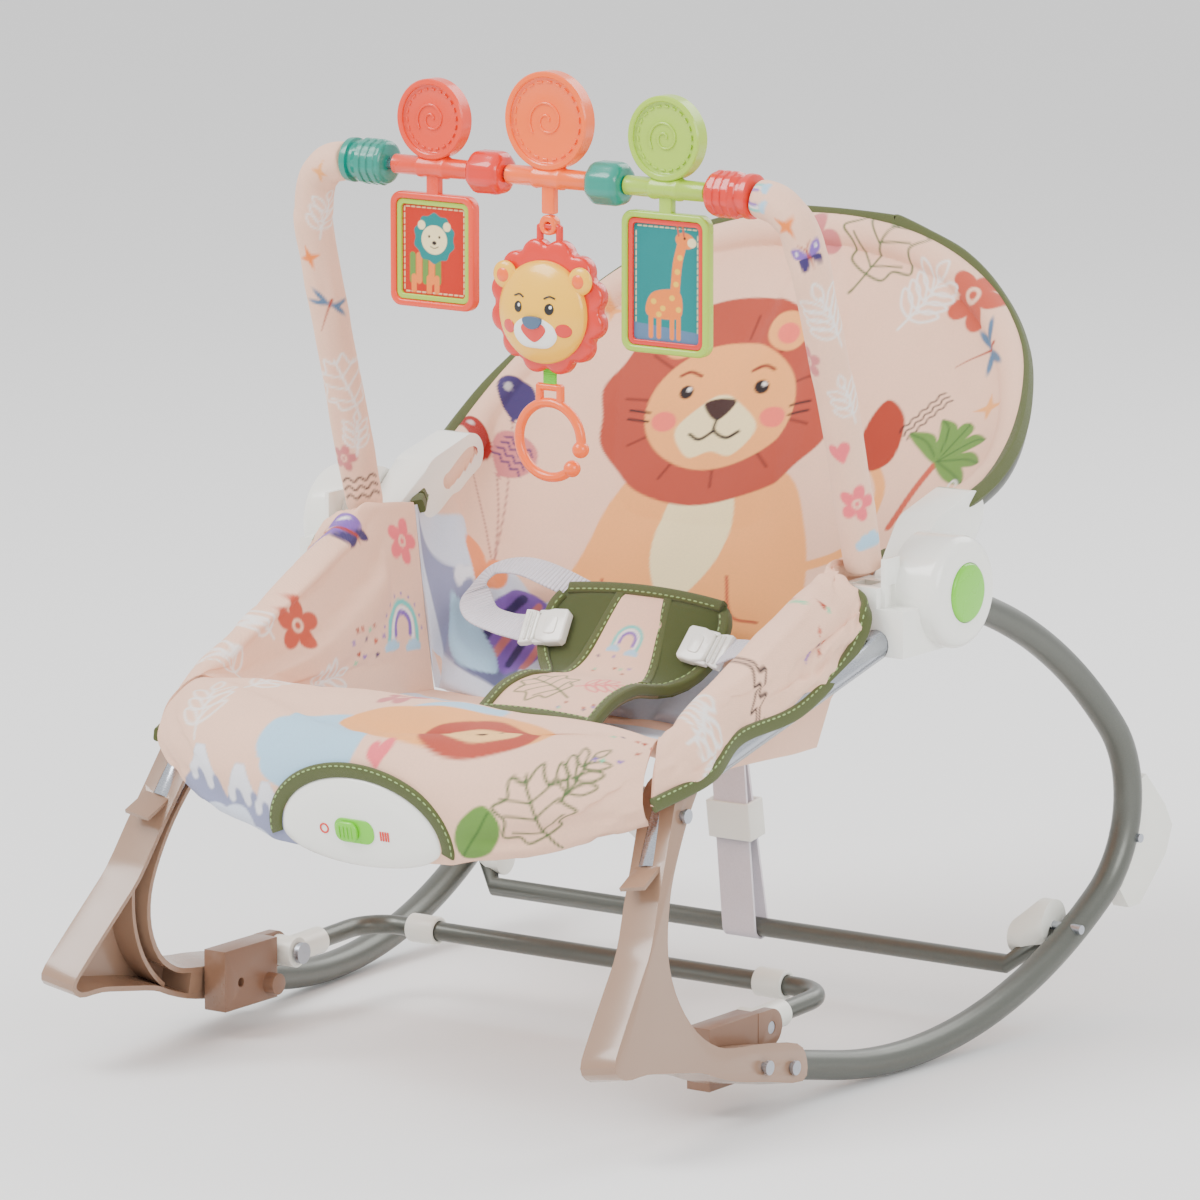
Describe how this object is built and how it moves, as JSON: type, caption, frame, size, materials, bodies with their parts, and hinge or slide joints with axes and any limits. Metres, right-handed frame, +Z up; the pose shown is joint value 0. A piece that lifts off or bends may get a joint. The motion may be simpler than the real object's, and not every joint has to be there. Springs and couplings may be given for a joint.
{
  "type": "bouncer seat",
  "caption": "Infant-to-toddler rocker seat on a steel rocking frame with a padded sling, folding kickstand, vibration unit and a removable bar of hanging toys.",
  "frame": {"origin": "on the floor under the middle of the whole footprint, rocker runners at Z = 0", "axes": "+X to the sitter's left-hand side as seen from the back, +Y to the rear, +Z up; the X = 0 plane is the symmetry plane"},
  "size_m": [0.5116, 0.604, 0.6299],
  "materials": {
    "frame_grey": "satin",
    "bright_steel": "satin",
    "leg_taupe": "gloss",
    "block_taupe": "satin",
    "white_plastic": "gloss",
    "clip_white": "satin",
    "button_green": "gloss",
    "spring_steel": "bright",
    "bolt_steel": "satin",
    "printed_fabric": "woven print",
    "wing_fabric": "woven print",
    "harness_fabric": "woven, bound edges",
    "webbing": "ribbed webbing",
    "battery": "satin",
    "motor_metal": "satin",
    "arm_plastic": "satin",
    "sleeve_fabric": "woven print",
    "toy_teal": "gloss",
    "toy_red": "gloss",
    "toy_orange": "gloss",
    "toy_lime": "gloss",
    "toy_yellow": "gloss",
    "ribbon_green": "webbing"
  },
  "bodies": {
    "base": {"rocker_tube_left": "frame_grey", "rocker_tube_right": "frame_grey", "front_leg_left": "leg_taupe", "front_leg_right": "leg_taupe", "kickstand_blocks": "block_taupe", "leg_bolts": "bolt_steel", "seat_tube_left": "bright_steel", "seat_tube_right": "bright_steel", "seat_front_tube": "bright_steel", "leg_brackets": "white_plastic", "hub_housing_left": "white_plastic", "hub_housing_right": "white_plastic", "pivot_bolts": "bolt_steel", "button_springs": "spring_steel", "rear_cross_bar": "frame_grey", "rear_brackets": "clip_white", "frame_screws": "bolt_steel", "rear_feet": "clip_white", "kickstand_pins": "bolt_steel", "seat_cover": "printed_fabric", "wing_left": "wing_fabric", "wing_right": "wing_fabric", "vibration_cover": "white_plastic", "vibration_housing": "clip_white", "vibration_motor": "motor_metal", "batteries": "battery", "battery_door": "clip_white", "crotch_pad": "harness_fabric", "waist_straps": "webbing", "buckles": "white_plastic", "tether_strap": "webbing", "strap_adjuster": "clip_white"},
    "backrest": {"backrest_tube": "frame_grey", "backrest_bracket_left": "white_plastic", "backrest_bracket_right": "white_plastic", "backrest_cover": "printed_fabric"},
    "button_left": {"button_left": "button_green"},
    "button_right": {"button_right": "button_green"},
    "switch": {"vibration_switch": "button_green"},
    "kickstand": {"kickstand_tube": "frame_grey", "kickstand_eyes": "clip_white", "kickstand_clips": "clip_white"},
    "toy_bar": {"toy_arm_left": "arm_plastic", "toy_arm_right": "arm_plastic", "arm_sleeve_left": "sleeve_fabric", "arm_sleeve_right": "sleeve_fabric", "arm_cap_left": "toy_teal", "arm_cap_right": "toy_red", "toy_rod": "bright_steel"},
    "spinner_left": {"spinner_left": "toy_red"},
    "spinner_middle": {"spinner_middle": "toy_orange"},
    "spinner_right": {"spinner_right": "toy_lime"},
    "bead_left": {"bead_left": "toy_red"},
    "bead_right": {"bead_right": "toy_teal"},
    "lion": {"lion_mane": "toy_red", "lion_face": "toy_yellow", "lion_ribbon": "ribbon_green"},
    "link_ring": {"link_ring": "toy_orange"}
  },
  "joints": [
    {"name": "backrest_recline", "type": "hinge", "parent": "base", "child": "backrest", "pos_m": [0, 0.047, 0.306], "axis": [1, 0, 0], "range_deg": [0, 30]},
    {"name": "button_left_press", "type": "slide", "parent": "base", "child": "button_left", "axis": [1, 0, 0], "range_m": [0, 0.004], "stiffness_N_per_m": 400, "deforming": ["button_springs"]},
    {"name": "button_right_press", "type": "slide", "parent": "base", "child": "button_right", "axis": [-1, 0, 0], "range_m": [0, 0.004], "stiffness_N_per_m": 400},
    {"name": "switch_slide", "type": "slide", "parent": "base", "child": "switch", "axis": [1, 0, 0], "range_m": [0, 0.008]},
    {"name": "kickstand_fold", "type": "hinge", "parent": "base", "child": "kickstand", "pos_m": [0, -0.095, 0.045], "axis": [1, 0, 0], "range_deg": [-40, 10]},
    {"name": "toy_bar_lift", "type": "slide", "parent": "base", "child": "toy_bar", "axis": [0, -0.27, 0.9629], "range_m": [0, 0.035]},
    {"name": "spinner_left_turn", "type": "hinge", "parent": "toy_bar", "child": "spinner_left", "pos_m": [-0.09, -0.055, 0.562], "axis": [1, 0, 0], "continuous": true},
    {"name": "spinner_middle_turn", "type": "hinge", "parent": "toy_bar", "child": "spinner_middle", "pos_m": [0, -0.055, 0.562], "axis": [1, 0, 0], "continuous": true},
    {"name": "spinner_right_turn", "type": "hinge", "parent": "toy_bar", "child": "spinner_right", "pos_m": [0.09, -0.055, 0.562], "axis": [1, 0, 0], "continuous": true},
    {"name": "bead_left_turn", "type": "hinge", "parent": "toy_bar", "child": "bead_left", "pos_m": [-0.046, -0.055, 0.562], "axis": [1, 0, 0], "continuous": true},
    {"name": "bead_right_turn", "type": "hinge", "parent": "toy_bar", "child": "bead_right", "pos_m": [0.046, -0.055, 0.562], "axis": [1, 0, 0], "continuous": true},
    {"name": "lion_swing", "type": "hinge", "parent": "spinner_middle", "child": "lion", "pos_m": [0, -0.055, 0.531], "axis": [1, 0, 0], "range_deg": [-60, 60]},
    {"name": "link_ring_swing", "type": "hinge", "parent": "lion", "child": "link_ring", "pos_m": [0, -0.055, 0.428], "axis": [1, 0, 0], "range_deg": [-70, 70]}
  ]
}
